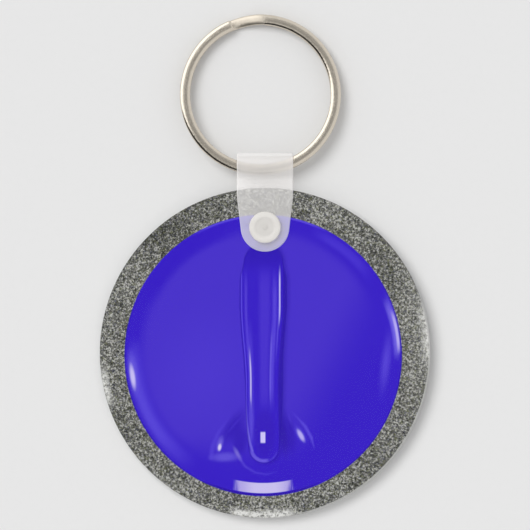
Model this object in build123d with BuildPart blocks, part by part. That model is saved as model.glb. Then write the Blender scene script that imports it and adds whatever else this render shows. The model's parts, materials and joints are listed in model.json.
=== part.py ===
"""Round key ring: a laminated printed disc, a frosted strap with a press stud, and a split ring.

The key ring lies face up on a table, which is the plane Z = 0. +Y runs from the disc to the ring.
The disc rests on its lower edge and on the cap of the press stud under it, so its plane tilts by a
degree or two, and the split ring droops from the strap until its far side meets the table.
"""

import os
from math import asin, atan2, cos, degrees, hypot, radians, sin, sqrt

from build123d import *

# ---- Driving dimensions, in millimetres ----
DISC_DIAMETER = 57.15  # 2 1/4 in
CORE_THICKNESS = 2.1
PAPER_THICKNESS = 0.1
FILM_THICKNESS = 0.15
SNAP_TO_EDGE = 6.8  # from the centre of the punched hole to the edge of the disc
PUNCHED_RADIUS = 2.65

STRAP_THICKNESS = 0.5
STRAP_WIDTH = 9.7
TAIL_RADIUS = 4.2  # the round end of each leaf, about the press stud
TAPER_START = 5.3  # how far above the press stud the leaf reaches its full width
LEAF_CLEARANCE = 0.1  # between a leaf and the disc
LOOP_INNER_RADIUS = 1.97
LOOP_BLEND_RADIUS = 2.0  # where the leaf bends out into the loop, on its middle line
SNAP_TO_LOOP = 10.35  # from the press stud to the middle of the loop
SNAP_TO_FOLD = 8.2  # from the press stud to the line that the front leaf bends at

CAP_RADIUS = 2.75
CAP_THICKNESS = 0.8
CAP_EDGE_RADIUS = 0.35
DISH_RADIUS = 1.7
DISH_DEPTH = 0.14
DISH_SLOPE = 0.25
NIB_RADIUS = 0.28
POST_RADIUS = 0.6
RIVET_RADIUS = 0.85  # the upset end of the post
RIVET_THICKNESS = 0.2
POST_HOLE_RADIUS = 0.65
WEB_THICKNESS = 0.4  # what the post clamps: the base of the socket or of the stud

SOCKET_RADIUS = 2.3
SOCKET_BORE = 1.68
SOCKET_LIP_BORE = 1.58
SOCKET_DEPTH = 1.6
SOCKET_LIP = 0.25
STUD_NECK_RADIUS = 1.2
STUD_HEAD_RADIUS = 1.28
STUD_BORE = 0.92
STUD_HEIGHT = 1.95
STUD_HEAD_HEIGHT = 0.6

RING_DIAMETER = 27.9  # outside
WIRE_WIDTH = 1.8  # across the ring's radius
WIRE_THICKNESS = 0.95  # along the ring's axis, one coil
WIRE_CORNER = 0.4
COIL_GAP = 0.04
RING_SHIFT = -0.8  # the ring has slid a little to one side in the loop
RING_OVER_PIVOT = 0.42  # how far the lowest point of the wire is below the middle of the loop
JOG_START = 88.0  # degrees, anticlockwise from +X seen from above
JOG_ARC = 22.0
JOG_SECTIONS = 7
END_GAP = 2.0  # degrees between the jog and a free end of the wire

# ---- Worked out from those ----
DISC_RADIUS = DISC_DIAMETER / 2
SNAP_TO_CENTRE = DISC_RADIUS - SNAP_TO_EDGE
STACK_THICKNESS = CORE_THICKNESS + 2 * (PAPER_THICKNESS + FILM_THICKNESS)
DISC_FACE = STACK_THICKNESS / 2  # heights are counted from the middle plane of the disc
LEAF_INNER = DISC_FACE + LEAF_CLEARANCE
LEAF_OUTER = LEAF_INNER + STRAP_THICKNESS
CAP_TOP = LEAF_OUTER + CAP_THICKNESS
WIRE_RADIUS = (RING_DIAMETER - WIRE_WIDTH) / 2  # of the wire's middle line
COIL_HEIGHT = (WIRE_THICKNESS + COIL_GAP) / 2  # of one coil's middle, from the ring's middle plane
RING_HALF_THICKNESS = WIRE_THICKNESS + COIL_GAP / 2
COIL_ARC = 360.0 - JOG_ARC - END_GAP

# The tilt at which the disc's lower edge and the rim of the back cap both touch the table.
REST_EDGE = (-(SNAP_TO_CENTRE + DISC_RADIUS), -DISC_FACE)
REST_CAP = (-(CAP_RADIUS - CAP_EDGE_RADIUS), -CAP_TOP)
TILT = atan2(REST_EDGE[1] - REST_CAP[1], REST_CAP[0] - REST_EDGE[0])
SNAP_Z = -(REST_CAP[0] * sin(TILT) + REST_CAP[1] * cos(TILT))

# The droop at which the far side of the split ring touches the table.
PIVOT_Z = SNAP_Z + SNAP_TO_LOOP * sin(TILT)
RING_CENTRE_REACH = WIRE_RADIUS - RING_OVER_PIVOT
CORNER_REACH = RING_CENTRE_REACH + RING_DIAMETER / 2 - WIRE_CORNER
CORNER_DEPTH = RING_HALF_THICKNESS - WIRE_CORNER
DROOP = asin((PIVOT_Z - WIRE_CORNER) / hypot(CORNER_REACH, CORNER_DEPTH)) - atan2(CORNER_DEPTH, CORNER_REACH)

# The origin is under the middle of the whole key ring's bounding box.
RING_REACH = CORNER_REACH * cos(DROOP) + CORNER_DEPTH * sin(DROOP) + WIRE_CORNER
RING_END = SNAP_TO_LOOP * cos(TILT) + RING_REACH
DISC_END = REST_EDGE[0] * cos(TILT) - DISC_FACE * sin(TILT)
SNAP_Y = -(RING_END + DISC_END) / 2

ALONG = Vector(0, cos(TILT), sin(TILT))  # in the disc's plane, towards the ring
FACING = Vector(0, -sin(TILT), cos(TILT))  # out of the disc's front face
SNAP_POINT = Vector(0, SNAP_Y, SNAP_Z)  # on the press stud's axis, half way through the disc
PIVOT_POINT = SNAP_POINT + ALONG * SNAP_TO_LOOP

snap_plane = Plane(SNAP_POINT, x_dir=(1, 0, 0), z_dir=FACING)
disc_plane = Plane(SNAP_POINT - ALONG * SNAP_TO_CENTRE, x_dir=(1, 0, 0), z_dir=FACING)
side_plane = Plane(SNAP_POINT, x_dir=ALONG, z_dir=(1, 0, 0))  # its X runs along the strap, its Y upwards
turning_plane = Plane(SNAP_POINT, x_dir=(1, 0, 0), z_dir=-ALONG)  # holds the press stud's axis as its Y
snap_axis = Axis(SNAP_POINT, FACING)


def save(part, name):
    """Labels a finished piece and writes it to its own file."""
    part.label = name
    export_step(part, f"parts/{name}.step")


def layer(bottom, thickness):
    """One round layer of the laminated disc, with the hole that is punched through the whole stack."""
    with BuildPart() as disc:
        with BuildSketch(disc_plane.offset(bottom)):
            Circle(DISC_RADIUS)
            with Locations((0, SNAP_TO_CENTRE)):
                Circle(PUNCHED_RADIUS, mode=Mode.SUBTRACT)
        extrude(amount=thickness)
    return disc.part


def leaf_outline(top):
    """The flat shape of one leaf of the strap, from its round tail up to the line at top."""
    Circle(TAIL_RADIUS)
    with Locations((0, (TAPER_START + top) / 2)):
        Rectangle(STRAP_WIDTH, top - TAPER_START)
    make_hull()
    Circle(POST_HOLE_RADIUS, mode=Mode.SUBTRACT)


def cap(base_plane):
    """A cap of the press stud, on the leaf's outer face: a dished head, and a post whose end is upset."""
    post_end = -(STRAP_THICKNESS + WEB_THICKNESS)
    half = Plane(base_plane.origin, x_dir=base_plane.x_dir, z_dir=-base_plane.y_dir)
    with BuildPart() as turned:
        with BuildSketch(half):
            with BuildLine():
                Polyline(
                    (0, post_end - RIVET_THICKNESS),
                    (RIVET_RADIUS, post_end - RIVET_THICKNESS),
                    (RIVET_RADIUS, post_end),
                    (POST_RADIUS, post_end),
                    (POST_RADIUS, 0),
                    (CAP_RADIUS, 0),
                    (CAP_RADIUS, CAP_THICKNESS - CAP_EDGE_RADIUS),
                )
                RadiusArc(
                    (CAP_RADIUS, CAP_THICKNESS - CAP_EDGE_RADIUS),
                    (CAP_RADIUS - CAP_EDGE_RADIUS, CAP_THICKNESS),
                    -CAP_EDGE_RADIUS,
                )
                Polyline(
                    (CAP_RADIUS - CAP_EDGE_RADIUS, CAP_THICKNESS),
                    (DISH_RADIUS, CAP_THICKNESS),
                    (DISH_RADIUS - DISH_SLOPE, CAP_THICKNESS - DISH_DEPTH),
                    (NIB_RADIUS, CAP_THICKNESS - DISH_DEPTH),
                    (NIB_RADIUS / 2, CAP_THICKNESS - DISH_DEPTH / 2),
                    (0, CAP_THICKNESS - DISH_DEPTH / 2),
                    (0, post_end - RIVET_THICKNESS),
                )
            make_face()
        revolve(axis=Axis(base_plane.origin, base_plane.z_dir))
    return turned.part


def wire_section(angle, height):
    """The wire's cross-section at an angle round the split ring, at a height from its middle plane."""
    outward = ring_plane.x_dir * cos(radians(angle)) + ring_plane.y_dir * sin(radians(angle))
    plane = Plane(ring_plane.origin, x_dir=outward, z_dir=outward.cross(ring_plane.z_dir))
    with BuildSketch(plane) as section:
        with Locations((WIRE_RADIUS, height)):
            RectangleRounded(WIRE_WIDTH, WIRE_THICKNESS, WIRE_CORNER)
    return section.sketch


os.makedirs("parts", exist_ok=True)

# ---- The disc: a plastic core with a sheet of paper and a clear film on each face ----
half_core = CORE_THICKNESS / 2
save(layer(-half_core, CORE_THICKNESS), "disc_core")
save(layer(half_core, PAPER_THICKNESS), "front_print")
save(layer(half_core + PAPER_THICKNESS, FILM_THICKNESS), "front_film")
save(layer(-half_core - PAPER_THICKNESS, PAPER_THICKNESS), "back_paper")
save(layer(-DISC_FACE, FILM_THICKNESS), "back_film")

# ---- The strap's front leaf, which bends up at the fold when the press stud is opened ----
with BuildPart() as strap_front_leaf:
    with BuildSketch(snap_plane.offset(LEAF_INNER)):
        leaf_outline(SNAP_TO_FOLD)
    extrude(amount=STRAP_THICKNESS)
save(strap_front_leaf.part, "strap_front_leaf")

# ---- The strap's back leaf and the loop that the split ring hangs in ----
middle_height = (LEAF_INNER + LEAF_OUTER) / 2
loop_middle_radius = LOOP_INNER_RADIUS + STRAP_THICKNESS / 2
blend_to_pivot = sqrt((loop_middle_radius + LOOP_BLEND_RADIUS) ** 2 - (middle_height + LOOP_BLEND_RADIUS) ** 2)
blend_start = SNAP_TO_LOOP - blend_to_pivot


def loop_face_line(offset):
    """One face of the loop, from the front leaf to the back leaf. offset is from the strap's middle."""
    height = middle_height + offset
    radius = loop_middle_radius + offset
    share = radius / (loop_middle_radius + LOOP_BLEND_RADIUS)
    crest_x = SNAP_TO_LOOP - blend_to_pivot * share
    crest_y = (middle_height + LOOP_BLEND_RADIUS) * share
    blend_radius = LOOP_BLEND_RADIUS - offset
    return (
        [(SNAP_TO_FOLD, height), (blend_start, height), (crest_x, crest_y)],
        [(crest_x, -crest_y), (blend_start, -height), (SNAP_TO_FOLD, -height)],
        blend_radius,
        SNAP_TO_LOOP + radius,
    )


with BuildPart() as strap_back_leaf:
    with BuildSketch(side_plane):
        with BuildLine():
            ends = []
            for face_offset in (-STRAP_THICKNESS / 2, STRAP_THICKNESS / 2):
                front, back, bend, tip = loop_face_line(face_offset)
                Line(front[0], front[1])
                RadiusArc(front[1], front[2], bend)
                ThreePointArc(front[2], (tip, 0), back[0])
                RadiusArc(back[0], back[1], bend)
                Line(back[1], back[2])
                ends.append((front[0], back[2]))
            Line(ends[0][0], ends[1][0])
            Line(ends[0][1], ends[1][1])
        make_face()
    extrude(amount=STRAP_WIDTH / 2, both=True)
    with BuildSketch(snap_plane.offset(-LEAF_OUTER)):
        leaf_outline(SNAP_TO_FOLD)
    extrude(amount=STRAP_THICKNESS)
save(strap_back_leaf.part, "strap_back_leaf")

# ---- The press stud: a cap, post and socket on the front leaf; a cap, post and stud on the back leaf ----
save(cap(snap_plane.offset(LEAF_OUTER)), "front_cap")
back_base = Plane(snap_plane.offset(-LEAF_OUTER).origin, x_dir=(1, 0, 0), z_dir=-FACING)
save(cap(back_base), "back_cap")

with BuildPart() as snap_socket:
    with BuildSketch(turning_plane):
        with BuildLine():
            Polyline(
                (POST_HOLE_RADIUS, LEAF_INNER),
                (SOCKET_RADIUS, LEAF_INNER),
                (SOCKET_RADIUS, LEAF_INNER - SOCKET_DEPTH),
                (SOCKET_LIP_BORE, LEAF_INNER - SOCKET_DEPTH),
                (SOCKET_LIP_BORE, LEAF_INNER - SOCKET_DEPTH + SOCKET_LIP),
                (SOCKET_BORE, LEAF_INNER - SOCKET_DEPTH + 2 * SOCKET_LIP),
                (SOCKET_BORE, LEAF_INNER - WEB_THICKNESS),
                (POST_HOLE_RADIUS, LEAF_INNER - WEB_THICKNESS),
                close=True,
            )
        make_face()
    revolve(axis=snap_axis)
save(snap_socket.part, "snap_socket")

with BuildPart() as snap_stud:
    base, crown = -LEAF_INNER, -LEAF_INNER + STUD_HEIGHT
    with BuildSketch(turning_plane):
        with BuildLine():
            Polyline(
                (POST_HOLE_RADIUS, base),
                (SOCKET_RADIUS, base),
                (SOCKET_RADIUS, base + WEB_THICKNESS),
                (STUD_NECK_RADIUS, base + WEB_THICKNESS),
                (STUD_NECK_RADIUS, crown - STUD_HEAD_HEIGHT),
                (STUD_HEAD_RADIUS, crown - STUD_HEAD_HEIGHT / 2),
                (STUD_BORE + 0.1, crown),
                (STUD_BORE, crown),
                (STUD_BORE, base + WEB_THICKNESS),
                (POST_HOLE_RADIUS, base + WEB_THICKNESS),
                close=True,
            )
        make_face()
    revolve(axis=snap_axis)
save(snap_stud.part, "snap_stud")

# ---- The split ring: one wire of nearly two turns, which steps from the upper turn to the lower ----
ring_normal = Vector(0, sin(DROOP), cos(DROOP))
ring_outward = Vector(0, cos(DROOP), -sin(DROOP))
ring_plane = Plane(
    PIVOT_POINT + ring_outward * RING_CENTRE_REACH + Vector(RING_SHIFT, 0, 0),
    x_dir=(1, 0, 0),
    z_dir=ring_normal,
)
ring_axis = Axis(ring_plane.origin, ring_normal)

with BuildPart() as split_ring:
    add(wire_section(JOG_START + JOG_ARC + END_GAP, COIL_HEIGHT))
    revolve(axis=ring_axis, revolution_arc=COIL_ARC)
    add(wire_section(JOG_START + JOG_ARC, -COIL_HEIGHT))
    revolve(axis=ring_axis, revolution_arc=COIL_ARC)
    steps = []
    for index in range(JOG_SECTIONS):
        share = index / (JOG_SECTIONS - 1)
        fall = share * share * (3 - 2 * share)
        steps.append(wire_section(JOG_START + JOG_ARC * share, COIL_HEIGHT * (1 - 2 * fall)))
    loft(sections=[step.face() for step in steps])
save(split_ring.part, "split_ring")

fold_point = SNAP_POINT + ALONG * SNAP_TO_FOLD + FACING * LEAF_OUTER
print("disc tilts by", degrees(TILT), "and ring droops by", degrees(DROOP), "degrees")
print("press stud", tuple(SNAP_POINT), "fold", tuple(fold_point), "loop", tuple(PIVOT_POINT))
print("facing", tuple(FACING), "ring centre", tuple(ring_plane.origin), "ring normal", tuple(ring_normal))
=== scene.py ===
import json
from math import acos, atan2, ceil, cos, hypot, pi, radians, sin, sqrt, tan

import bmesh
import bpy
from mathutils import Matrix, Vector


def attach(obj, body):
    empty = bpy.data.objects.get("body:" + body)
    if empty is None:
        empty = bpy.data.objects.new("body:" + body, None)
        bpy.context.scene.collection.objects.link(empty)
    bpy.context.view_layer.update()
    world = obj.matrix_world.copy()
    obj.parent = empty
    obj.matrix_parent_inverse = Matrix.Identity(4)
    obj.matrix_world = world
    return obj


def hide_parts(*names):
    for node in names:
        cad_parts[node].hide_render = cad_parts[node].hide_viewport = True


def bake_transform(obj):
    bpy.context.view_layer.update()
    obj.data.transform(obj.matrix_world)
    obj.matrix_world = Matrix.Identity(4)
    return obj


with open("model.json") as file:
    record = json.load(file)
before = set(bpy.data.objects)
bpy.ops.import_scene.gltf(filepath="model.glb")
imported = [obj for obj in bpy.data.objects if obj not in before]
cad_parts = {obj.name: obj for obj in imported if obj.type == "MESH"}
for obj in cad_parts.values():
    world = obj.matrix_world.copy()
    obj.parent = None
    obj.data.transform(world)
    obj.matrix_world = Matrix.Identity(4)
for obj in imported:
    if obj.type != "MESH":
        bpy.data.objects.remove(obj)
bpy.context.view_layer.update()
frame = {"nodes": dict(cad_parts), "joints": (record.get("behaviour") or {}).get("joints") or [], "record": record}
MM = 0.001

# ---- Table, light and camera ----
# A pale matt table in an even studio, with one soft key light from the upper left. The camera looks
# straight down from a long way off. Shiny metal mirrors a white panel on the upper left, a black
# one on the lower left, pale walls between them, and a dim opening overhead.
VIEW_CENTRE = Vector((0.0, 0.19 * MM, 3.0 * MM))
VIEW_WIDTH = 91.7 * MM
CAMERA_DISTANCE = 0.9
SENSOR_WIDTH = 36.0  # the camera's own unit
CLIP_START = 0.01
TABLE_HALF = 1.5
KEY_ELEVATION = radians(58)
KEY_HEADING = radians(139)
KEY_SHARE = 0.38  # of the light on the table
KEY_SPREAD = radians(32)
BACKDROP_LEVEL = 0.8
WALL_LEVEL = 0.79
WHITE_PANEL_LEVEL = 1.7
WHITE_PANEL_HEADING = radians(141)
BLACK_PANEL_HEADING = radians(233)
BLACK_PANEL_COVER = 0.96  # of the wall's light that it takes away
OPENING_WAY = (0, sin(radians(9)), cos(radians(9)))
OPENING_COVER = 0.55


def tone(red, green, blue):
    """A linear colour from its three display values, 0 to 255."""
    def linear(value):
        share = value / 255
        return share / 12.92 if share <= 0.04045 else ((share + 0.055) / 1.055) ** 2.4
    return (linear(red), linear(green), linear(blue), 1.0)


class Term:
    """A value inside a node tree: sums, products and the like make the nodes that work them out."""

    def __init__(self, graph, socket):
        self.graph, self.socket = graph, socket

    def __add__(self, other):
        return self.graph.math("ADD", self, other)

    def __sub__(self, other):
        return self.graph.math("SUBTRACT", self, other)

    def __rsub__(self, other):
        return self.graph.math("SUBTRACT", other, self)

    def __mul__(self, other):
        return self.graph.math("MULTIPLY", self, other)

    def __truediv__(self, other):
        return self.graph.math("DIVIDE", self, other)

    def at_least(self, other):
        return self.graph.math("MAXIMUM", self, other)

    def size(self):
        return self.graph.math("ABSOLUTE", self, 0.0)

    __radd__, __rmul__ = __add__, __mul__


class Graph:
    """The node tree of the studio, of one material or of the ring's winding."""

    def __init__(self, tree):
        self.tree = tree
        tree.nodes.clear()

    def node(self, kind, **settings):
        made = self.tree.nodes.new(kind)
        for key, value in settings.items():
            setattr(made, key, value)
        return made

    def put(self, socket, value):
        if isinstance(value, Term):
            value = value.socket
        if isinstance(value, bpy.types.NodeSocket):
            self.tree.links.new(value, socket)
        else:
            socket.default_value = value

    def math(self, operation, first, second):
        made = self.node("ShaderNodeMath", operation=operation)
        self.put(made.inputs[0], first)
        self.put(made.inputs[1], second)
        return Term(self, made.outputs[0])

    def vector(self, operation, first, second=None, scale=None, output="Vector"):
        made = self.node("ShaderNodeVectorMath", operation=operation)
        self.put(made.inputs[0], first)
        if second is not None:
            self.put(made.inputs[1], second)
        if scale is not None:
            self.put(made.inputs["Scale"], scale)
        return Term(self, made.outputs[output])

    def step(self, value, nought, full):
        """Goes smoothly from 0 to 1 as value goes from nought to full."""
        made = self.node("ShaderNodeMapRange", interpolation_type="SMOOTHSTEP")
        self.put(made.inputs["Value"], value)
        self.put(made.inputs["From Min"], nought)
        self.put(made.inputs["From Max"], full)
        return Term(self, made.outputs["Result"])

    def lay_over(self, under, share, over):
        """Lays one colour over another, as thick as share says."""
        made = self.node("ShaderNodeMix", data_type="RGBA")
        self.put(made.inputs["Factor"], share)
        self.put(made.inputs["A"], under)
        self.put(made.inputs["B"], over)
        return made.outputs["Result"]

    def noise(self, place, scale, detail=2.0, roughness=0.5, output="Factor"):
        made = self.node("ShaderNodeTexNoise")
        self.put(made.inputs["Vector"], place)
        made.inputs["Scale"].default_value = scale
        made.inputs["Detail"].default_value = detail
        made.inputs["Roughness"].default_value = roughness
        return Term(self, made.outputs[0 if output == "Factor" else 1])

    def split(self, vector):
        made = self.node("ShaderNodeSeparateXYZ")
        self.put(made.inputs[0], vector)
        return [Term(self, socket) for socket in made.outputs]

    def join(self, x, y, z):
        made = self.node("ShaderNodeCombineXYZ")
        for socket, value in zip(made.inputs, (x, y, z)):
            self.put(socket, value)
        return made.outputs[0]

    def either(self, switch, off, on):
        """Mixes two shaders: off where switch is 0 and on where it is 1."""
        made = self.node("ShaderNodeMixShader")
        for socket, value in zip(made.inputs, (switch, off, on)):
            self.put(socket, value)
        return made.outputs[0]

    def leaving(self):
        """1 where a ray meets a face from behind, on its way out of the piece."""
        return Term(self, self.node("ShaderNodeNewGeometry").outputs["Backfacing"])


world = bpy.data.worlds.new("studio")
world.use_nodes = True
bpy.context.scene.world = world
studio = Graph(world.node_tree)
direction = studio.node("ShaderNodeTexCoord").outputs["Generated"]
overhead = studio.split(direction)[2]
level_way = studio.vector("NORMALIZE", studio.vector("MULTIPLY", direction, (1, 1, 0)))


def panel(heading, half_width, lowest, highest):
    """Where a soft-edged panel hangs: 1 on it, 0 off it. Angles are in degrees but for its heading."""
    side_edge, top_edge = 5, 3
    way = (cos(heading), sin(heading), 0)
    beside = studio.vector("DOT_PRODUCT", level_way, way, output="Value")
    width = studio.step(beside, cos(radians(half_width + side_edge)), cos(radians(half_width - side_edge)))
    bottom = studio.step(overhead, sin(radians(lowest - side_edge)), sin(radians(lowest + side_edge)))
    top = studio.step(overhead, sin(radians(highest + top_edge)), sin(radians(highest - top_edge)))
    return width * bottom * top


def white_glow(strength):
    """White light of a given strength from the studio's walls."""
    made = studio.node("ShaderNodeBackground")
    made.inputs["Color"].default_value = (1, 1, 1, 1)
    studio.put(made.inputs["Strength"], strength)
    return made.outputs[0]


white_panel = panel(WHITE_PANEL_HEADING, half_width=37, lowest=20, highest=75)
black_panel = panel(BLACK_PANEL_HEADING, half_width=49, lowest=-20, highest=76)
mirrored = white_panel * (WHITE_PANEL_LEVEL - WALL_LEVEL) + WALL_LEVEL
mirrored = mirrored * (1.0 - black_panel * BLACK_PANEL_COVER)
opening = studio.vector("DOT_PRODUCT", direction, OPENING_WAY, output="Value")
mirrored = mirrored * (1.0 - studio.step(opening, cos(radians(16)), cos(radians(5))) * OPENING_COVER)
ray = studio.node("ShaderNodeLightPath").outputs
walls = studio.either(ray["Is Glossy Ray"], white_glow(1.0 - KEY_SHARE), white_glow(mirrored))
room = studio.either(ray["Is Camera Ray"], walls, white_glow(BACKDROP_LEVEL))
studio.put(studio.node("ShaderNodeOutputWorld").inputs["Surface"], room)

key = bpy.data.objects.new("key_light", bpy.data.lights.new("key_light", "SUN"))
key.data.energy = KEY_SHARE * pi / sin(KEY_ELEVATION)
key.data.angle = KEY_SPREAD
key.visible_glossy = False
toward_key = Vector((
    cos(KEY_HEADING) * cos(KEY_ELEVATION),
    sin(KEY_HEADING) * cos(KEY_ELEVATION),
    sin(KEY_ELEVATION),
))
key.rotation_euler = toward_key.to_track_quat("Z", "Y").to_euler()
bpy.context.scene.collection.objects.link(key)

camera = bpy.data.objects.new("camera", bpy.data.cameras.new("camera"))
camera.location = VIEW_CENTRE + Vector((0, 0, CAMERA_DISTANCE))
camera.data.sensor_width = SENSOR_WIDTH
camera.data.lens = SENSOR_WIDTH * CAMERA_DISTANCE / VIEW_WIDTH
camera.data.clip_start = CLIP_START
bpy.context.scene.collection.objects.link(camera)
bpy.context.scene.camera = camera
bpy.context.scene.view_settings.view_transform = "Standard"


def material(name, kind=Graph):
    """A new material, with its graph, its main shader and its place on the piece in metres."""
    made = bpy.data.materials.new(name)
    made.use_nodes = True
    graph = kind(made.node_tree)
    graph.surface = graph.node("ShaderNodeOutputMaterial").inputs["Surface"]
    shader = graph.node("ShaderNodeBsdfPrincipled")
    graph.put(graph.surface, shader.outputs[0])
    return made, graph, shader, graph.node("ShaderNodeTexCoord").outputs["Object"]


MERGE_DISTANCE = 0.002 * MM
SLIVER = 0.0005 * MM
SHARP = radians(40)  # the least turn between faces that shows as an edge


def make_piece(name, points, faces, finish, sharp=SHARP):
    """A smooth mesh piece, with its points in the row's frame, its doubles merged and its faces outwards."""
    mesh = bpy.data.meshes.new(name)
    mesh.from_pydata([tuple(point) for point in points], [], faces)
    shell = bmesh.new()
    shell.from_mesh(mesh)
    bmesh.ops.remove_doubles(shell, verts=shell.verts, dist=MERGE_DISTANCE)
    bmesh.ops.dissolve_degenerate(shell, edges=shell.edges, dist=SLIVER)
    bmesh.ops.recalc_face_normals(shell, faces=shell.faces)
    shell.to_mesh(mesh)
    shell.free()
    mesh.shade_smooth()
    mesh.set_sharp_from_angle(angle=sharp)
    mesh.materials.append(finish)
    piece = bpy.data.objects.new(name, mesh)
    bpy.context.scene.collection.objects.link(piece)
    return piece


table_top, graph, shader, place = material("table_top")
speckle = graph.noise(place, scale=900.0, detail=3.0)
graph.put(shader.inputs["Base Color"], graph.lay_over(tone(230, 230, 230), speckle, tone(232, 232, 232)))
shader.inputs["Roughness"].default_value = 0.9
shader.inputs["Specular IOR Level"].default_value = 0.1
table = make_piece(
    "table",
    [(x * TABLE_HALF, y * TABLE_HALF, 0) for x, y in ((-1, -1), (1, -1), (1, 1), (-1, 1))],
    [(0, 1, 2, 3)],
    table_top,
)

# ---- Plastic core of the disc ----
# A round of white sheet plastic, 57 mm across, punched for the press stud. Its edge is turned to
# size after the papers and films are laid on, which leaves fine lines round it.
DISC_DIAMETER = 57.15 * MM
SNAP_TO_EDGE = 6.8 * MM
SNAP_TO_CENTRE = DISC_DIAMETER / 2 - SNAP_TO_EDGE
swivel = next(joint for joint in frame["joints"] if joint["name"] == "strap_swivel")
across = Vector((1, 0, 0))
facing = Vector(swivel["axis"]).normalized()
along = facing.cross(across)
press_stud = Vector(swivel["pos_m"])
disc_centre = press_stud - along * SNAP_TO_CENTRE
TILT = atan2(along.z, along.y)


def lying(point, origin=press_stud, up=facing, ahead=along):
    """A point given across, along and above the disc, or another flat piece, in the row's frame."""
    return origin + across * point[0] + ahead * point[1] + up * point[2]


def own_place(graph, place, origin, tilt):
    """Turns a place in the row's frame into millimetres across, along and above a flat piece."""
    made = graph.node("ShaderNodeMapping", vector_type="TEXTURE")
    graph.put(made.inputs["Vector"], place)
    made.inputs["Location"].default_value = origin
    made.inputs["Rotation"].default_value = (tilt, 0, 0)
    made.inputs["Scale"].default_value = (MM, MM, MM)
    return made.outputs["Vector"]


def roughen(graph, shader, height, depth):
    """Gives a shader fine relief."""
    made = graph.node("ShaderNodeBump")
    made.inputs["Distance"].default_value = depth
    graph.put(made.inputs["Height"], height)
    graph.put(shader.inputs["Normal"], made.outputs[0])


def finish_node(name, finish):
    """Gives a CAD node its finish."""
    for slot in frame["nodes"][name].material_slots:
        slot.material = finish


core_plastic, graph, shader, place = material("white_core_plastic")
spot = own_place(graph, place, disc_centre, TILT)
turned = graph.noise(graph.vector("MULTIPLY", spot, (0.15, 0.15, 14.0)), scale=1.0, detail=3.0)
cloud = graph.noise(spot, scale=0.35, detail=2.0)
graph.put(shader.inputs["Base Color"], graph.lay_over(tone(236, 235, 232), cloud, tone(226, 226, 224)))
graph.put(shader.inputs["Roughness"], graph.step(turned, 0.2, 0.8) * 0.2 + 0.36)
roughen(graph, shader, turned, 0.02 * MM)
finish_node("disc_core", core_plastic)

# ---- Printed front sheet ----
# Paper printed with a curling stone seen from above: a ring of speckled granite round a glossy
# blue plastic disc with its gooseneck handle. All of it is flat ink, with the shine printed too.
BLUE_CENTRE = (-0.31, -0.42)
BLUE_RADIUS = 24.0
BLUE_HEIGHT = 1.015  # times its width
BLUE_EDGE = 0.06  # how soft its edge is printed
INK = tone(57, 31, 198)
INK_LIGHT = tone(73, 50, 203)
INK_SHINE = tone(199, 190, 244)
GRANITE_DARK = tone(49, 50, 46)
GRANITE_MIDDLE = tone(107, 107, 103)
GRANITE_PALE = tone(190, 190, 185)


class Picture(Graph):
    """The picture's ink, laid on in soft shapes. Places are in millimetres from the disc's centre."""

    def open(self, spot, ground):
        self.spot, self.ink = spot, ground
        self.x, self.y = self.split(spot)[:2]
        self.squeeze(1.0)

    def squeeze(self, height):
        """Makes the shapes that follow taller than wide, by height, about the blue disc's centre line."""
        made = self.node("ShaderNodeMapping", vector_type="TEXTURE")
        self.put(made.inputs["Vector"], self.spot)
        made.inputs["Location"].default_value = (0, BLUE_CENTRE[1] * (1 - height), 0)
        made.inputs["Scale"].default_value = (1, height, 1)
        self.flat = self.vector("MULTIPLY", made.outputs[0], (1, 1, 0))

    def away(self, centre):
        """How far each place is from a point."""
        return self.vector("DISTANCE", self.flat, (centre[0], centre[1], 0), output="Value")

    def lay(self, share, colour, strength=1.0):
        if strength != 1.0:
            share = share * strength
        self.ink = self.lay_over(self.ink, share, colour)

    def blob(self, centre, length, width, heading, core=0.0):
        """A soft oval, full inside core and gone at its edge. Length and width are half its size."""
        made = self.node("ShaderNodeMapping", vector_type="TEXTURE")
        self.put(made.inputs["Vector"], self.flat)
        made.inputs["Location"].default_value = (centre[0], centre[1], 0)
        made.inputs["Rotation"].default_value = (0, 0, radians(heading))
        made.inputs["Scale"].default_value = (length, width, 1)
        return self.step(self.vector("LENGTH", made.outputs[0], output="Value"), 1.0, core)

    def stroke(self, points, soft):
        """A brush stroke through points, each (x, y, half-width), with edges that are soft that far in."""
        whole = None
        for (x1, y1, w1), (x2, y2, w2) in zip(points, points[1:]):
            run = Vector((x2 - x1, y2 - y1, 0))
            start = self.vector("SUBTRACT", self.flat, (x1, y1, 0))
            share = self.vector("DOT_PRODUCT", start, run / run.length_squared, output="Value")
            held = self.node("ShaderNodeClamp")
            self.put(held.inputs["Value"], share)
            share = Term(self, held.outputs[0])
            along_run = self.vector("SCALE", tuple(run), scale=share)
            gap = self.vector("DISTANCE", start, along_run, output="Value")
            inside = share * (w2 - w1) + w1 - gap
            piece = self.step(inside, 0.0, soft)
            whole = piece if whole is None else whole.at_least(piece)
        return whole

    def arc(self, centre, radius, half_width, soft, start, end, fade):
        """A curved band about a centre, from one angle in degrees to another, that fades at its ends."""
        gap = (self.away(centre) - radius).size()
        band = self.step(gap, half_width, half_width - soft)
        middle, half = radians((start + end) / 2), radians(abs(end - start) / 2)
        toward = self.vector("SUBTRACT", self.flat, (centre[0], centre[1], 0))
        heading = self.vector(
            "DOT_PRODUCT", self.vector("NORMALIZE", toward), (cos(middle), sin(middle), 0), output="Value"
        )
        return band * self.step(heading, cos(half), cos(max(half - radians(fade), 0.0)))


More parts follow.
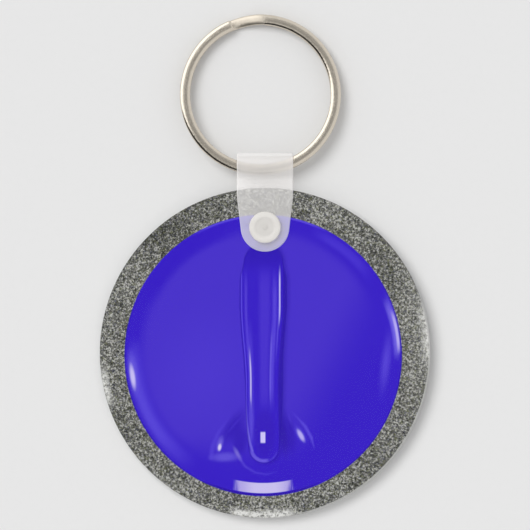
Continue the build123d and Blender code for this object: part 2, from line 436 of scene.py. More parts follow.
def paint_granite(picture):
    """Speckled grey stone, paler where the light catches the stone's shoulder."""
    middle = (0.0, 0.0)
    grain = picture.noise(picture.spot, scale=3.0, detail=2.0, roughness=0.6)
    crystal = picture.noise(picture.spot, scale=6.5, detail=1.0)
    tint = picture.noise(picture.spot, scale=3.6, detail=1.0, output="Color")
    drift = picture.noise(picture.spot, scale=0.13, detail=1.0)
    speck = grain * 0.7 + crystal * 0.3 + (drift - 0.5) * 0.10
    speck = speck - picture.arc(middle, 27.0, 5.0, 3.0, 100, 152, 22) * 0.030
    speck = speck - picture.arc(middle, 27.0, 5.0, 3.0, -62, -22, 18) * 0.022
    picture.ink = picture.lay_over(GRANITE_DARK, picture.step(speck, 0.38, 0.51), GRANITE_MIDDLE)
    picture.lay(picture.step(speck, 0.50, 0.63), GRANITE_PALE)
    green, blue = picture.split(tint)[1:]
    picture.lay(picture.step(green, 0.54, 0.74), tone(140, 144, 98), 0.4)
    picture.lay(picture.step(blue, 0.55, 0.77), tone(100, 104, 142), 0.4)
    picture.lay(picture.arc(middle, 28.0, 4.2, 3.6, -30, 36, 24), tone(176, 176, 172), 0.08)
    glint = picture.step(picture.noise(picture.spot, scale=1.9, detail=3.0, roughness=0.7), 0.36, 0.56)
    shoulder = picture.arc(middle, 28.4, 1.3, 1.1, 184, 200, 6)
    shoulder = shoulder.at_least(picture.arc(middle, 28.6, 2.0, 1.9, -6, 19, 9))
    shoulder = shoulder.at_least(picture.arc(middle, 28.3, 1.5, 1.2, 256, 282, 5))
    picture.lay(shoulder * (glint * 0.85 + 0.15), tone(234, 234, 231), 0.85)
    rim = picture.away(middle)
    picture.lay(picture.step(rim, 28.3, 28.6), tone(84, 84, 80), 0.35)
    picture.lay(picture.arc(middle, 28.5, 0.26, 0.14, -88, 28, 16), tone(186, 186, 184), 0.8)


def paint_blue_disc(picture):
    """The blue plastic disc: a lit dome, its shining rim, and the window's reflection at the bottom."""
    middle = BLUE_CENTRE
    picture.squeeze(BLUE_HEIGHT)
    picture.ink = INK
    dome = picture.step(picture.away((-0.6, 0.1)), 21.9, 19.4)
    dome = dome * picture.step(picture.x - picture.y * 0.5, 17.5, 7.0)
    dome = dome * picture.step(picture.y, -20.5, -13.0)
    picture.lay(dome, INK_LIGHT)
    picture.lay(picture.blob((-11.0, -3.0), 14.0, 11.0, 70), tone(79, 57, 209), 0.6)
    picture.lay(picture.arc(middle, 22.3, 2.2, 1.8, 100, 160, 16), tone(55, 28, 197), 0.9)
    picture.lay(picture.arc(middle, 22.7, 1.2, 1.1, 34, 70, 16), tone(77, 56, 212), 0.7)
    picture.lay(picture.arc(middle, 23.8, 0.24, 0.2, 60, 122, 12), tone(100, 82, 226), 0.7)
    picture.lay(picture.arc(middle, 22.2, 1.9, 1.6, 170, 240, 24), tone(82, 62, 213), 0.9)
    picture.lay(picture.arc(middle, 22.4, 1.1, 1.0, 172, 226, 20), tone(90, 72, 217), 0.7)
    picture.lay(picture.blob((-22.85, -3.4), 5.0, 1.15, 98), tone(112, 97, 224), 0.9)
    picture.lay(picture.blob((-22.9, -4.0), 2.9, 0.62, 99, 0.25), INK_SHINE)
    picture.lay(picture.blob((20.9, -1.6), 7.4, 1.25, 83), tone(90, 71, 216), 0.85)
    picture.lay(picture.blob((22.3, 6.4), 5.6, 0.95, 108), tone(92, 74, 219), 0.9)
    picture.lay(picture.arc(middle, 23.1, 0.8, 0.7, -3, 26, 10), tone(112, 97, 226))
    picture.lay(picture.arc(middle, 23.45, 0.42, 0.36, 0, 20, 8), tone(182, 172, 242))
    bar = picture.step((picture.away(middle) - 22.62).size(), 0.95, 0.78)
    sides = picture.noise(picture.vector("MULTIPLY", picture.spot, (3.4, 0.35, 0)), scale=1.0, detail=1.0)
    ends = picture.step((picture.x + 0.3).size() + sides * 1.6, 6.2, 4.7)
    lower = picture.step(picture.y, -20.0, -21.0)
    brighter = picture.step(picture.x.size(), 4.6, 1.5)
    gleam = picture.lay_over(tone(176, 164, 230), brighter, tone(202, 193, 239))
    picture.lay(bar * ends * lower, gleam)
    picture.lay(picture.arc(middle, 23.8, 0.26, 0.16, 244, 296, 8), tone(44, 22, 160), 0.8)
    picture.lay(picture.arc(middle, 23.9, 0.18, 0.14, 150, 260, 14), tone(44, 22, 160), 0.55)
    picture.lay(picture.arc(middle, 23.9, 0.18, 0.14, -70, 40, 14), tone(44, 22, 160), 0.7)
    picture.squeeze(1.0)


def paint_handle_foot(picture):
    """The two lobes that the handle stands on, with their hollows and highlights."""
    hollow = tone(52, 27, 182)
    picture.lay(picture.blob((-5.5, -12.9), 5.0, 1.9, 57, 0.2), hollow, 0.85)
    picture.lay(picture.blob((-4.3, -15.0), 3.8, 1.9, 84, 0.3), hollow, 0.85)
    picture.lay(picture.blob((4.0, -13.8), 4.8, 1.7, 100, 0.3), hollow, 0.85)
    picture.lay(picture.blob((3.2, -14.6), 4.6, 0.95, 96, 0.2), tone(49, 27, 168), 0.7)
    outer = [(-6.0, -11.0, 0.25), (-7.9, -13.4, 0.5), (-9.0, -16.0, 0.7), (-9.4, -18.2, 0.6)]
    picture.lay(picture.stroke(outer, 0.6), tone(82, 62, 211), 0.8)
    picture.lay(picture.blob((-6.9, -18.0), 3.5, 1.15, 2, 0.2), tone(98, 82, 216), 0.9)
    under = [
        (-4.5, -18.0, 0.45), (-3.5, -19.6, 0.4), (-1.6, -20.7, 0.34), (0.3, -21.0, 0.3), (2.2, -20.5, 0.15),
    ]
    picture.lay(picture.stroke(under, 0.4), tone(82, 62, 210), 0.85)
    picture.lay(picture.blob((-4.8, -17.4), 1.9, 0.55, -62), tone(124, 110, 216), 0.9)
    crease = [(-6.3, -13.6, 0.22), (-5.0, -12.0, 0.26), (-3.9, -10.9, 0.15)]
    picture.lay(picture.stroke(crease, 0.25), INK_LIGHT, 0.7)
    picture.lay(picture.blob((-7.8, -15.7), 1.9, 0.8, 74), tone(118, 103, 224), 0.9)
    picture.lay(picture.blob((-7.85, -16.3), 0.85, 0.42, 80, 0.3), tone(208, 199, 245))
    beyond = [(5.0, -10.5, 0.2), (6.9, -12.6, 0.5), (8.0, -14.6, 0.5), (8.5, -16.4, 0.25)]
    picture.lay(picture.stroke(beyond, 0.5), tone(92, 74, 218), 0.9)
    picture.lay(picture.blob((6.15, -14.1), 2.3, 0.95, -61), tone(98, 82, 221), 0.9)
    picture.lay(picture.blob((6.2, -14.25), 1.6, 0.55, -61, 0.3), tone(180, 170, 241))
    picture.lay(picture.blob((4.25, -11.3), 1.4, 0.35, -72), tone(78, 56, 208), 0.8)


def paint_handle(picture):
    """The gooseneck handle: a bar down the middle, widest at the top, with a round tip."""
    wide = picture.step(picture.y, -5.0, 8.5) * 0.9 + 3.05
    centre = picture.step(picture.y, -6.0, -16.0) * 0.17 - 0.38
    share = (picture.x - centre) / wide
    side = [
        (-0.25, 15.6, 3.50), (-0.30, 12.6, 4.15), (-0.32, 8.0, 4.18), (-0.36, 3.5, 3.84), (-0.30, -0.5, 3.52),
        (-0.18, -4.5, 3.38), (-0.15, -10.0, 3.24), (-0.16, -13.5, 3.05), (-0.18, -16.45, 2.75),
    ]
    shape = picture.stroke(side, 0.16)
    around = picture.stroke([(x + 0.35, y, width + 0.55) for x, y, width in side], 1.0)
    picture.lay(around, tone(46, 24, 170), 0.5)
    ground = picture.ink
    picture.ink = INK

    def streak(middle, half, soft, low, high, fade):
        """A streak down the handle, its middle and half-width in shares of the handle's own half-width."""
        band = picture.step((share - middle).size(), half, half - soft)
        lower = picture.step(picture.y, low - fade, low + fade)
        return band * lower * picture.step(picture.y, high + fade, high - fade)

    picture.lay(streak(0.08, 0.36, 0.26, -9.0, 14.0, 2.5), tone(73, 50, 205))
    picture.lay(streak(0.52, 0.16, 0.14, -8.0, 12.5, 3.0), tone(88, 68, 217), 0.9)
    picture.lay(streak(0.42, 0.07, 0.07, -8.0, 3.0, 2.5), tone(112, 97, 224), 0.9)
    picture.lay(streak(-0.66, 0.22, 0.16, -15.0, 4.0, 3.0), tone(80, 59, 211), 0.8)
    picture.lay(streak(-0.74, 0.10, 0.09, -9.0, 13.0, 2.5), tone(86, 65, 214), 0.8)
    picture.lay(streak(-0.93, 0.04, 0.035, -14.0, 14.5, 2.0), tone(96, 78, 222), 0.9)
    picture.lay(streak(-0.68, 0.07, 0.065, -8.4, -0.6, 2.2), tone(196, 187, 243))
    picture.lay(streak(1.02, 0.20, 0.10, -18.0, 15.0, 1.0), tone(47, 25, 170), 0.9)
    picture.lay(streak(0.74, 0.055, 0.05, 5.8, 14.0, 1.8), tone(198, 190, 247))
    picture.lay(streak(0.70, 0.05, 0.05, 0.0, 9.0, 3.0), tone(104, 88, 226), 0.7)
    picture.lay(picture.step(picture.y, 13.2, 17.0), tone(50, 26, 182), 0.85)
    tip = side[-1][:2]
    picture.lay(picture.blob((-0.1, -14.0), 5.4, 2.25, 90, 0.55), tone(56, 30, 190), 0.9)
    picture.lay(picture.arc(tip, 2.2, 0.48, 0.4, 182, 300, 26), tone(104, 88, 219))
    picture.lay(picture.arc(tip, 2.3, 0.26, 0.22, 290, 350, 24), tone(80, 60, 208), 0.7)
    band = [(-2.5, -8.5, 0.35), (-2.45, -11.0, 0.6), (-2.4, -13.0, 0.5), (-2.3, -15.2, 0.3)]
    picture.lay(picture.stroke(band, 0.5), tone(90, 73, 213), 0.8)
    left_edge = [
        (-3.2, -9.0, 0.12), (-3.13, -11.5, 0.2), (-2.95, -13.4, 0.26),
        (-2.62, -15.4, 0.3), (-2.2, -16.9, 0.3),
    ]
    picture.lay(picture.stroke(left_edge, 0.22), tone(112, 98, 222), 0.9)
    light_width = picture.step((picture.x + 0.36).size(), 0.50, 0.32)
    light_height = picture.step((picture.y + 14.6).size(), 1.1, 0.76)
    picture.lay(light_width * light_height, tone(206, 199, 250))
    edge = picture.stroke([(x, y, width - 0.12) for x, y, width in side], 0.18)
    picture.lay(1.0 - edge, tone(42, 22, 158), 0.6)
    picture.ink = picture.lay_over(ground, shape, picture.ink)


front_paper, picture, shader, place = material("printed_front_sheet", Picture)
picture.open(own_place(picture, place, disc_centre, TILT), GRANITE_MIDDLE)
paint_granite(picture)
granite = picture.ink
paint_blue_disc(picture)
paint_handle_foot(picture)
paint_handle(picture)
picture.squeeze(BLUE_HEIGHT)
blue_area = picture.step(picture.away(BLUE_CENTRE), BLUE_RADIUS + BLUE_EDGE, BLUE_RADIUS - BLUE_EDGE)
picture.put(shader.inputs["Base Color"], picture.lay_over(granite, blue_area, picture.ink))
shader.inputs["Roughness"].default_value = 0.6
shader.inputs["Specular IOR Level"].default_value = 0.05
finish_node("front_print", front_paper)

# ---- Back sheet ----
# Plain white paper under its own film. The back of the key ring isn't printed.
back_paper, graph, shader, place = material("plain_back_sheet")
fibre = graph.noise(own_place(graph, place, disc_centre, TILT), scale=1.4, detail=4.0, roughness=0.6)
graph.put(shader.inputs["Base Color"], graph.lay_over(tone(238, 238, 236), fibre, tone(228, 228, 227)))
shader.inputs["Roughness"].default_value = 0.6
finish_node("back_paper", back_paper)

# ---- Clear films ----
# Laminating film, heat-pressed over each face. It is clear, a little glossy, and its cut edge is
# very slightly rounded where the blade pulled it down.
FILM_THICKNESS = 0.15 * MM
FILM_EDGE = 0.08 * MM
GLUE_THICKNESS = 0.01 * MM
FILM_SEGMENTS = 360
FILM_MIRROR = 0.12  # how strongly it mirrors, most of all at a slant
DISC_FACE = 1.3 * MM
HOLE_RADIUS = 2.65 * MM
ROUND_STEPS = 5


def rounded(corners, closed=True):
    """The points of an outline, given as corners (x, y, radius of the rounding there)."""
    outline = []
    count = len(corners)
    for index, (x, y, radius) in enumerate(corners):
        at = Vector((x, y))
        if radius <= 0 or (not closed and index in (0, count - 1)):
            outline.append(at)
            continue
        back = (Vector(corners[index - 1][:2]) - at).normalized()
        ahead = (Vector(corners[(index + 1) % count][:2]) - at).normalized()
        half = back.angle(ahead) / 2
        centre = at + (back + ahead).normalized() * (radius / sin(half))
        first = at + back * (radius / tan(half)) - centre
        last = at + ahead * (radius / tan(half)) - centre
        turn = first.angle_signed(last)
        for part in range(ROUND_STEPS + 1):
            outline.append(centre + Matrix.Rotation(-turn * part / ROUND_STEPS, 2) @ first)
    return outline


def skin(outlines, size, round_about=False, closed=True):
    """Faces between outlines of so many points, each joined to the next, and the last to the first if
    they go round about. A closed outline's last point is joined to its first."""
    faces = []
    for outline in range(outlines if round_about else outlines - 1):
        here, there = outline * size, (outline + 1) % outlines * size
        for point in range(size if closed else size - 1):
            other = (point + 1) % size
            faces.append((here + point, there + point, there + other, here + other))
    return faces


def turned_piece(name, outline, finish, segments, closed=True, up=facing, ahead=along):
    """A piece turned on a lathe: an outline of (radius, height) round the press stud's axis."""
    points = []
    for step in range(segments):
        angle = 2 * pi * step / segments
        for radius, height in outline:
            points.append(lying((radius * cos(angle), radius * sin(angle), height), up=up, ahead=ahead))
    return make_piece(name, points, skin(segments, len(outline), True, closed), finish)


def film_finish(name):
    """Clear film: all that is under it shows, and its surface mirrors a little more at a slant."""
    made, graph, shader, place = material(name)
    drag = graph.noise(own_place(graph, place, disc_centre, TILT), scale=0.22, detail=2.0)
    shader.inputs["Base Color"].default_value = (0.95, 0.96, 0.97, 1.0)
    shader.inputs["Metallic"].default_value = 1.0
    graph.put(shader.inputs["Roughness"], graph.step(drag, 0.3, 0.7) * 0.06 + 0.12)
    clear = graph.node("ShaderNodeBsdfTransparent").outputs[0]
    shine = graph.node("ShaderNodeLayerWeight")
    shine.inputs["Blend"].default_value = FILM_MIRROR
    mirroring = Term(graph, shine.outputs["Fresnel"]) * (1.0 - graph.leaving())
    graph.put(graph.surface, graph.either(mirroring, clear, shader.outputs[0]))
    return made


def make_film(name, side):
    """One film, on the front (side 1) or the back (side -1)."""
    outer, inner = DISC_DIAMETER / 2, HOLE_RADIUS
    top, bottom = DISC_FACE * side, (DISC_FACE - FILM_THICKNESS + GLUE_THICKNESS) * side
    outline = rounded([(inner, bottom, 0), (outer, bottom, 0), (outer, top, FILM_EDGE), (inner, top, 0)])
    points = []
    for step in range(FILM_SEGMENTS):
        angle = 2 * pi * step / FILM_SEGMENTS
        for radius, height in outline:
            hole_shift = SNAP_TO_CENTRE if radius < 2 * inner else 0.0
            points.append(lying((radius * cos(angle), hole_shift + radius * sin(angle), height), disc_centre))
    faces = skin(FILM_SEGMENTS, len(outline), True)
    film = make_piece(name + "_pressed", points, faces, film_finish(name + "_clear"))
    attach(film, "disc")
    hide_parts(name)


make_film("front_film", 1)
make_film("back_film", -1)

# ---- Frosted strap ----
# One strip of frosted vinyl, cut with a round end, folded over the split ring and pressed shut
# through the disc. The front leaf and the loop are one piece here, where the real strip bends
# when the press stud is opened; this piece isn't made to bend. The back leaf goes on from where
# the disc hides it.
STRAP_THICKNESS = 0.5 * MM
STRAP_WIDTH = 9.7 * MM
TAIL_RADIUS = 4.2 * MM
TAPER_START = 5.3 * MM
LEAF_MIDDLE = 1.65 * MM
LOOP_RADIUS = 2.22 * MM
BLEND_RADIUS = 2.0 * MM
SNAP_TO_LOOP = 10.35 * MM
SNAP_TO_FOLD = 8.2 * MM
HIDDEN_SEAM = 5.9 * MM
POST_HOLE_RADIUS = 0.65 * MM
POST_HOLE_BOTTOM = 0.8 * MM
POST_HOLE_TOP = 2.6 * MM
ROW_STEP = 0.2 * MM
TAIL_STEPS = 26
EDGE_STEPS = 5
STRAP_SHARP = radians(60)
HOLE_SEGMENTS = 32
BEND_ZONE = 0.9 * MM
CLOUDINESS = 0.06  # how much the milkiness varies from place to place
LEAVING_CLEAR = 0.9  # how much less of it counts again where a ray leaves the piece
DISH_OUTER, DISH_INNER = 2.1, 1.3  # where a cap's dished middle is painted greyer as shade, in millimetres from its axis
BEND_ANGLE = acos((LEAF_MIDDLE + BLEND_RADIUS) / (LOOP_RADIUS + BLEND_RADIUS))
STRAIGHT = SNAP_TO_LOOP - (LOOP_RADIUS + BLEND_RADIUS) * sin(BEND_ANGLE)
BEND_LENGTH = BLEND_RADIUS * BEND_ANGLE
LOOP_SWEEP = pi + 2 * BEND_ANGLE
LOOP_LENGTH = LOOP_RADIUS * LOOP_SWEEP
STRIP_LENGTH = 2 * (STRAIGHT + BEND_LENGTH) + LOOP_LENGTH


def strip_at(run):
    """Where the strip's middle line is, run along it from the press stud, and which way its outside faces."""
    if run > STRIP_LENGTH / 2:
        (ahead, up), (out_ahead, out_up) = strip_at(STRIP_LENGTH - run)
        return (ahead, -up), (out_ahead, -out_up)
    if run <= STRAIGHT:
        return (run, LEAF_MIDDLE), (0.0, 1.0)
    if run <= STRAIGHT + BEND_LENGTH:
        turn = (run - STRAIGHT) / BLEND_RADIUS
        out = (-sin(turn), cos(turn))
        return (STRAIGHT - BLEND_RADIUS * out[0], LEAF_MIDDLE + BLEND_RADIUS * (1 - out[1])), out
    turn = pi / 2 + BEND_ANGLE - (run - STRAIGHT - BEND_LENGTH) / LOOP_RADIUS
    out = (cos(turn), sin(turn))
    return (SNAP_TO_LOOP + LOOP_RADIUS * out[0], LOOP_RADIUS * out[1]), out


def strip_outline(end):
    """One side of the flat strip's outline, from its round tip up to end, with its inward normals."""
    reach = hypot(STRAP_WIDTH / 2, TAPER_START)
    tangent = atan2(TAPER_START, STRAP_WIDTH / 2) - acos(TAIL_RADIUS / reach)
    side = []
    for step in range(TAIL_STEPS + 1):
        angle = -pi / 2 + (tangent + pi / 2) * step / TAIL_STEPS
        side.append(((TAIL_RADIUS * cos(angle), TAIL_RADIUS * sin(angle)), (-cos(angle), -sin(angle))))
    first = Vector(side[-1][0])
    corner = Vector((STRAP_WIDTH / 2, TAPER_START))
    taper_normal = side[-1][1]
    rows = ceil((corner - first).length / ROW_STEP)
    for row in range(1, rows):
        side.append((tuple(first.lerp(corner, row / rows)), taper_normal))
    soft = Vector(taper_normal) + Vector((-1, 0))
    side.append((tuple(corner), tuple(soft.normalized())))
    rows = ceil((end - TAPER_START) / ROW_STEP)
    for row in range(1, rows + 1):
        side.append(((STRAP_WIDTH / 2, TAPER_START + (end - TAPER_START) * row / rows), (-1.0, 0.0)))
    return side


def strip_piece(name, end, finish, back=False):
    """A length of the strip with rounded edges, from its round end to end, bent to where it lies."""
    half = STRAP_THICKNESS / 2
    angles = [pi / 2 * step / (EDGE_STEPS - 1) for step in range(EDGE_STEPS)]
    profile = [(half * (1 - cos(angle)), half * sin(angle)) for angle in reversed(angles)]
    profile += [(inset, -height) for inset, height in reversed(profile[:-1])]
    points = []
    side = strip_outline(end)
    for (x, run), (normal_x, normal_run) in side:
        row = []
        for sign in (1, -1):
            for inset, height in profile:
                row.append((sign * (x + normal_x * inset), run + normal_run * inset, height))
        row = row[:len(profile)] + list(reversed(row[len(profile):]))
        for flat_x, flat_run, height in row:
            (ahead, up), (out_ahead, out_up) = strip_at(flat_run)
            if back:
                up, out_up = -up, -out_up
            points.append(lying((flat_x, ahead + out_ahead * height, up + out_up * height)))
    around = 2 * len(profile)
    last = (len(side) - 1) * around
    faces = skin(len(side), around)
    faces.append(tuple(last + step for step in range(around)))
    strip = make_piece(name, points, faces, finish, STRAP_SHARP)
    side_sign = -1 if back else 1
    hole = [
        (0, POST_HOLE_BOTTOM), (POST_HOLE_RADIUS, POST_HOLE_BOTTOM),
        (POST_HOLE_RADIUS, POST_HOLE_TOP), (0, POST_HOLE_TOP),
    ]
    cutter = turned_piece(
        "post_hole", hole, finish, HOLE_SEGMENTS, up=facing * side_sign, ahead=along * side_sign
    )
    cut = strip.modifiers.new("post_hole", "BOOLEAN")
    cut.operation, cut.object, cut.solver = "DIFFERENCE", cutter, "EXACT"
    bpy.context.view_layer.update()
    seen_now = strip.evaluated_get(bpy.context.evaluated_depsgraph_get())
    cut_mesh = bpy.data.meshes.new_from_object(seen_now)
    strip.modifiers.clear()
    strip.data = cut_mesh
    bpy.data.objects.remove(cutter)
    return strip


def milky(name, colour, solid, shade, roughness, grain_size, grain_depth, dish=0.0):
    """Milky see-through plastic. Solid is how much of what is under one thickness of it is hidden, seen
    square on, and more is at a slant. Shade is how much of the light that passes it is held back. Dish
    is how much greyer the colour is painted round the press stud's axis: painted shade in a cap's dished middle."""
    made, graph, shader, place = material(name)
    spot = own_place(graph, place, press_stud, TILT)
    cloud = graph.noise(spot, scale=0.55, detail=3.0)
    grain = graph.noise(spot, scale=grain_size, detail=2.0)
    darker = tuple(value * 0.96 for value in colour[:3]) + (1.0,)
    ground = graph.lay_over(colour, cloud, darker)
    # Painted shade: a cap's dished middle is greyed in its colour, towards the press stud's axis.
    if dish:
        from_axis = graph.vector("LENGTH", graph.vector("MULTIPLY", spot, (1, 1, 0)), output="Value")
        dish_painted_shade = tuple(value * (1.0 - dish) for value in colour[:3]) + (1.0,)
        ground = graph.lay_over(ground, graph.step(from_axis, DISH_OUTER, DISH_INNER), dish_painted_shade)
    graph.put(shader.inputs["Base Color"], ground)
    graph.put(shader.inputs["Roughness"], grain * 0.12 + roughness)
    shader.inputs["Specular IOR Level"].default_value = 0.35
    roughen(graph, shader, grain, grain_depth)
    slant = graph.node("ShaderNodeLayerWeight")
    slant.inputs["Blend"].default_value = 0.5
    hidden = cloud * CLOUDINESS + (solid - CLOUDINESS / 2)
    hidden = hidden + (1.0 - hidden) * Term(graph, slant.outputs["Facing"])
    hidden = hidden * (1.0 - graph.leaving() * LEAVING_CLEAR)
    ray = graph.node("ShaderNodeLightPath").outputs
    lighting = Term(graph, ray["Is Shadow Ray"]).at_least(Term(graph, ray["Is Diffuse Ray"]))
    hidden = hidden * (1.0 - lighting * (1.0 - shade))
    clear = graph.node("ShaderNodeBsdfTransparent").outputs[0]
    graph.put(graph.surface, graph.either(hidden, clear, shader.outputs[0]))
    return made


vinyl = milky(
    "frosted_vinyl", (0.97, 0.95, 0.94, 1.0), solid=0.46, shade=0.15,
    roughness=0.34, grain_size=9.0, grain_depth=0.003 * MM,
)
to_seam = STRIP_LENGTH - HIDDEN_SEAM
strap_front = strip_piece("strap_front_and_loop", to_seam, vinyl)
fold = Vector((0, SNAP_TO_FOLD, LEAF_MIDDLE))
bend_way = Vector((0, -1, 1)).normalized()
lying(fold - bend_way * BEND_ZONE / sqrt(2))
lying(fold + bend_way * BEND_ZONE / sqrt(2))
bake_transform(strap_front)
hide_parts("strap_front_leaf")
strap_back = strip_piece("strap_back", HIDDEN_SEAM, vinyl, back=True)
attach(strap_back, "strap")
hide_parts("strap_back_leaf")

# ---- Press stud ----
# Four mouldings in milky plastic: a dished cap and its post on each side of the strap, with the
# socket clamped behind the front leaf and the stud behind the back leaf.
CAP_RADIUS = 2.75 * MM
CAP_THICKNESS = 0.8 * MM
LEAF_OUTER = 1.9 * MM
WEB_THICKNESS = 0.4 * MM
POST_RADIUS = 0.6 * MM
RIVET_RADIUS = 0.85 * MM
RIVET_THICKNESS = 0.2 * MM
CAP_SEGMENTS = 96

# The caps' dished middles get painted shade, a greyer colour round the press stud's axis.
snap_plastic = milky(
    "milky_snap_plastic", (0.81, 0.785, 0.75, 1.0), solid=0.90, shade=0.5,
    roughness=0.3, grain_size=6.0, grain_depth=0.003 * MM, dish=0.12,
)


def make_cap(name, side, body):
    """A cap and its post, front (side 1) or back (side -1)."""
    base = LEAF_OUTER
    post_end = base - STRAP_THICKNESS - WEB_THICKNESS
    top = base + CAP_THICKNESS
    # each corner's radius, height and rounding, from the riveted end of the post to the dish
    outline = rounded([
        (0, post_end - RIVET_THICKNESS, 0),
        (RIVET_RADIUS, post_end - RIVET_THICKNESS, 0.08 * MM),
        (RIVET_RADIUS, post_end, 0),
        (POST_RADIUS, post_end, 0),
        (POST_RADIUS, base, 0),
        (CAP_RADIUS - 0.05 * MM, base, 0.04 * MM),
        (CAP_RADIUS, base + 0.12 * MM, 0.08 * MM),
        (CAP_RADIUS, top - 0.06 * MM, 0.32 * MM),
        (CAP_RADIUS - 0.62 * MM, top, 0.5 * MM),
        (1.85 * MM, top - 0.01 * MM, 0.4 * MM),
        (1.50 * MM, top - 0.14 * MM, 0.35 * MM),
        (0.50 * MM, top - 0.15 * MM, 0.3 * MM),
        (0.22 * MM, top - 0.07 * MM, 0.2 * MM),
        (0, top - 0.06 * MM, 0),
    ], closed=False)
    cap = turned_piece(
        name + "_moulded", outline, snap_plastic, CAP_SEGMENTS,
        closed=False, up=facing * side, ahead=along * side,
    )
    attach(cap, body)
    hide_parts(name)


make_cap("front_cap", 1, "flap")
make_cap("back_cap", -1, "strap")
finish_node("snap_socket", snap_plastic)
finish_node("snap_stud", snap_plastic)

# ---- Split ring ----
# Nickel-plated spring wire, wound flat for nearly two turns with a step from the upper turn down
# to the lower one, so that a key slides in between them. Both free ends are cropped beside the step.
END_CROP = 0.12 * MM
END_FULLNESS = 0.86  # how big the wire's section is at its cropped ends
WIRE_ROWS = 700
SECTION_POINTS = 36
WIRE_SHARP = radians(50)
WINDING = {
    "Ring Radius": 13.05 * MM,
    "Wire Width": 1.8 * MM,
    "Wire Thickness": 0.95 * MM,
    "Coil Gap": 0.04 * MM,
    "Step Start": radians(88),
    "Step Arc": radians(22),
    "End Gap": radians(2),
    "Squareness": 3.0,  # of the wire, which is flat-sided but well rounded: 2 is an oval
}
bow = next(mount for mount in frame["record"]["mounts"] if mount["name"] == "split_ring_bow")
ring_centre = Vector(bow["pos_m"])
ring_up = Vector(bow["axis"]).normalized()
ring_ahead = ring_up.cross(across)
DROOP = atan2(ring_ahead.z, ring_ahead.y)


def winding_tree(finish):
    """Bends a round rod, closed at both ends, into the ring's two turns of flat wire."""
    tree = bpy.data.node_groups.new("split_ring_winding", "GeometryNodeTree")
    winding = Graph(tree)
    tree.interface.new_socket("Geometry", in_out="OUTPUT", socket_type="NodeSocketGeometry")
    for name in WINDING:
        tree.interface.new_socket(name, in_out="INPUT", socket_type="NodeSocketFloat")
    given = winding.node("NodeGroupInput").outputs
    radius, width, thickness, gap, step_start, step_arc, end_gap, squareness = [
        Term(winding, given[name]) for name in WINDING
    ]
    rod = winding.node("GeometryNodeMeshCylinder", fill_type="NGON")
    rod.inputs["Vertices"].default_value = SECTION_POINTS
    rod.inputs["Side Segments"].default_value = WIRE_ROWS
    rod.inputs["Radius"].default_value = 1.0
    rod.inputs["Depth"].default_value = 1.0
    x, y, z = winding.split(winding.node("GeometryNodeInputPosition").outputs[0])
    coil_arc = 2 * pi - step_arc - end_gap
    whole = coil_arc * 2.0 + step_arc
    angle = step_start + step_arc + end_gap + whole * (0.5 - z)
    share = winding.step(angle, step_start + 2 * pi, step_start + step_arc + 2 * pi)
    height = (thickness + gap) * (0.5 - share)
    near_end = (0.5 - z.size()) * whole * radius
    fullness = winding.step(near_end, 0.0, END_CROP) * (1.0 - END_FULLNESS) + END_FULLNESS
    bulge = winding.math("DIVIDE", 2.0, squareness)

    def flattened(value):
        """A place round the rod's section, moved out towards the sides of a rounded rectangle."""
        return winding.math("SIGN", value, 0.0) * winding.math("POWER", value.size(), bulge)

    reach = radius + flattened(x) * width * 0.5 * fullness
    lift = height + flattened(y) * thickness * 0.5 * fullness
    cosine, sine = winding.math("COSINE", angle, 0.0), winding.math("SINE", angle, 0.0)
    bend = winding.node("GeometryNodeSetPosition")
    winding.put(bend.inputs["Geometry"], rod.outputs["Mesh"])
    winding.put(bend.inputs["Position"], winding.join(reach * cosine, reach * sine, lift))
    realized = winding.node("GeometryNodeRealizeInstances")
    winding.put(realized.inputs[0], bend.outputs[0])
    plated = winding.node("GeometryNodeSetMaterial")
    winding.put(plated.inputs["Geometry"], realized.outputs[0])
    plated.inputs["Material"].default_value = finish
    winding.put(winding.node("NodeGroupOutput").inputs[0], plated.outputs[0])
    return tree


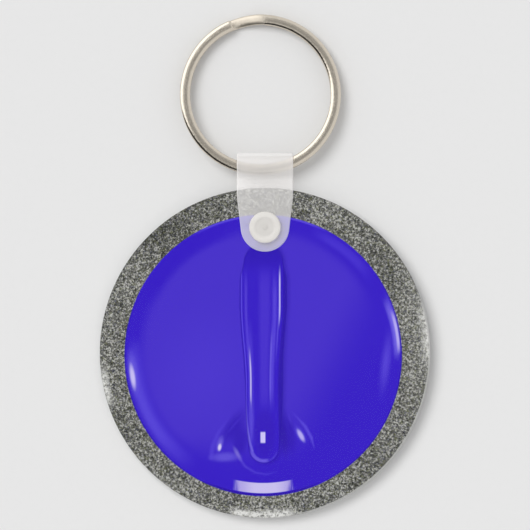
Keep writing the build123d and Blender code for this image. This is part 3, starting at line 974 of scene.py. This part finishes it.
def make_ring(finish):
    """Winds the wire, and lays the ring as it droops from the strap's loop."""
    ring = bpy.data.objects.new("split_ring_wire", bpy.data.meshes.new("split_ring_wire"))
    bpy.context.scene.collection.objects.link(ring)
    tree = winding_tree(finish)
    wound = ring.modifiers.new("winding", "NODES")
    wound.node_group = tree
    for item in tree.interface.items_tree:
        if item.in_out == "INPUT":
            wound[item.identifier] = WINDING[item.name]
    bpy.context.view_layer.update()
    wound_now = ring.evaluated_get(bpy.context.evaluated_depsgraph_get())
    mesh = bpy.data.meshes.new_from_object(wound_now)
    ring.modifiers.clear()
    mesh.transform(Matrix.Translation(ring_centre) @ Matrix.Rotation(DROOP, 4, "X"))
    mesh.shade_smooth()
    mesh.set_sharp_from_angle(angle=WIRE_SHARP)
    ring.data = mesh
    return ring


NICKEL = (0.78, 0.71, 0.61, 1.0)
NICKEL_DULL = (0.71, 0.645, 0.54, 1.0)
nickel, graph, shader, place = material("drawn_nickel_plate")
spot = own_place(graph, place, ring_centre, DROOP)
x, y, z = graph.split(spot)
reach = graph.vector("LENGTH", graph.vector("MULTIPLY", spot, (1, 1, 0)), output="Value")
turn = graph.math("ARCTAN2", y, x)
lines = graph.noise(graph.join(reach * 16.0, turn * 7.0, z * 16.0), scale=1.0, detail=3.0, roughness=0.6)
blotch = graph.noise(spot, scale=0.8, detail=3.0, roughness=0.6)
graph.put(shader.inputs["Base Color"], graph.lay_over(NICKEL, blotch, NICKEL_DULL))
shader.inputs["Metallic"].default_value = 1.0
run = turn * (WINDING["Ring Radius"] / MM)
slanting = graph.join(run * 2.4 + reach * 2.0, reach * 0.7, z * 0.7)
hatch = graph.noise(slanting, scale=1.0, detail=1.0)
step_middle = WINDING["Step Start"] + WINDING["Step Arc"] / 2
crimped = graph.step((turn - step_middle).size(), radians(16), radians(8))
graph.put(shader.inputs["Roughness"], graph.step(lines, 0.3, 0.7) * 0.10 + crimped * 0.30 + 0.07)
roughen(graph, shader, lines + hatch * (crimped * 1.2 + 0.8), 0.010 * MM)
ring = make_ring(nickel)
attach(ring, "ring")
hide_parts("split_ring")
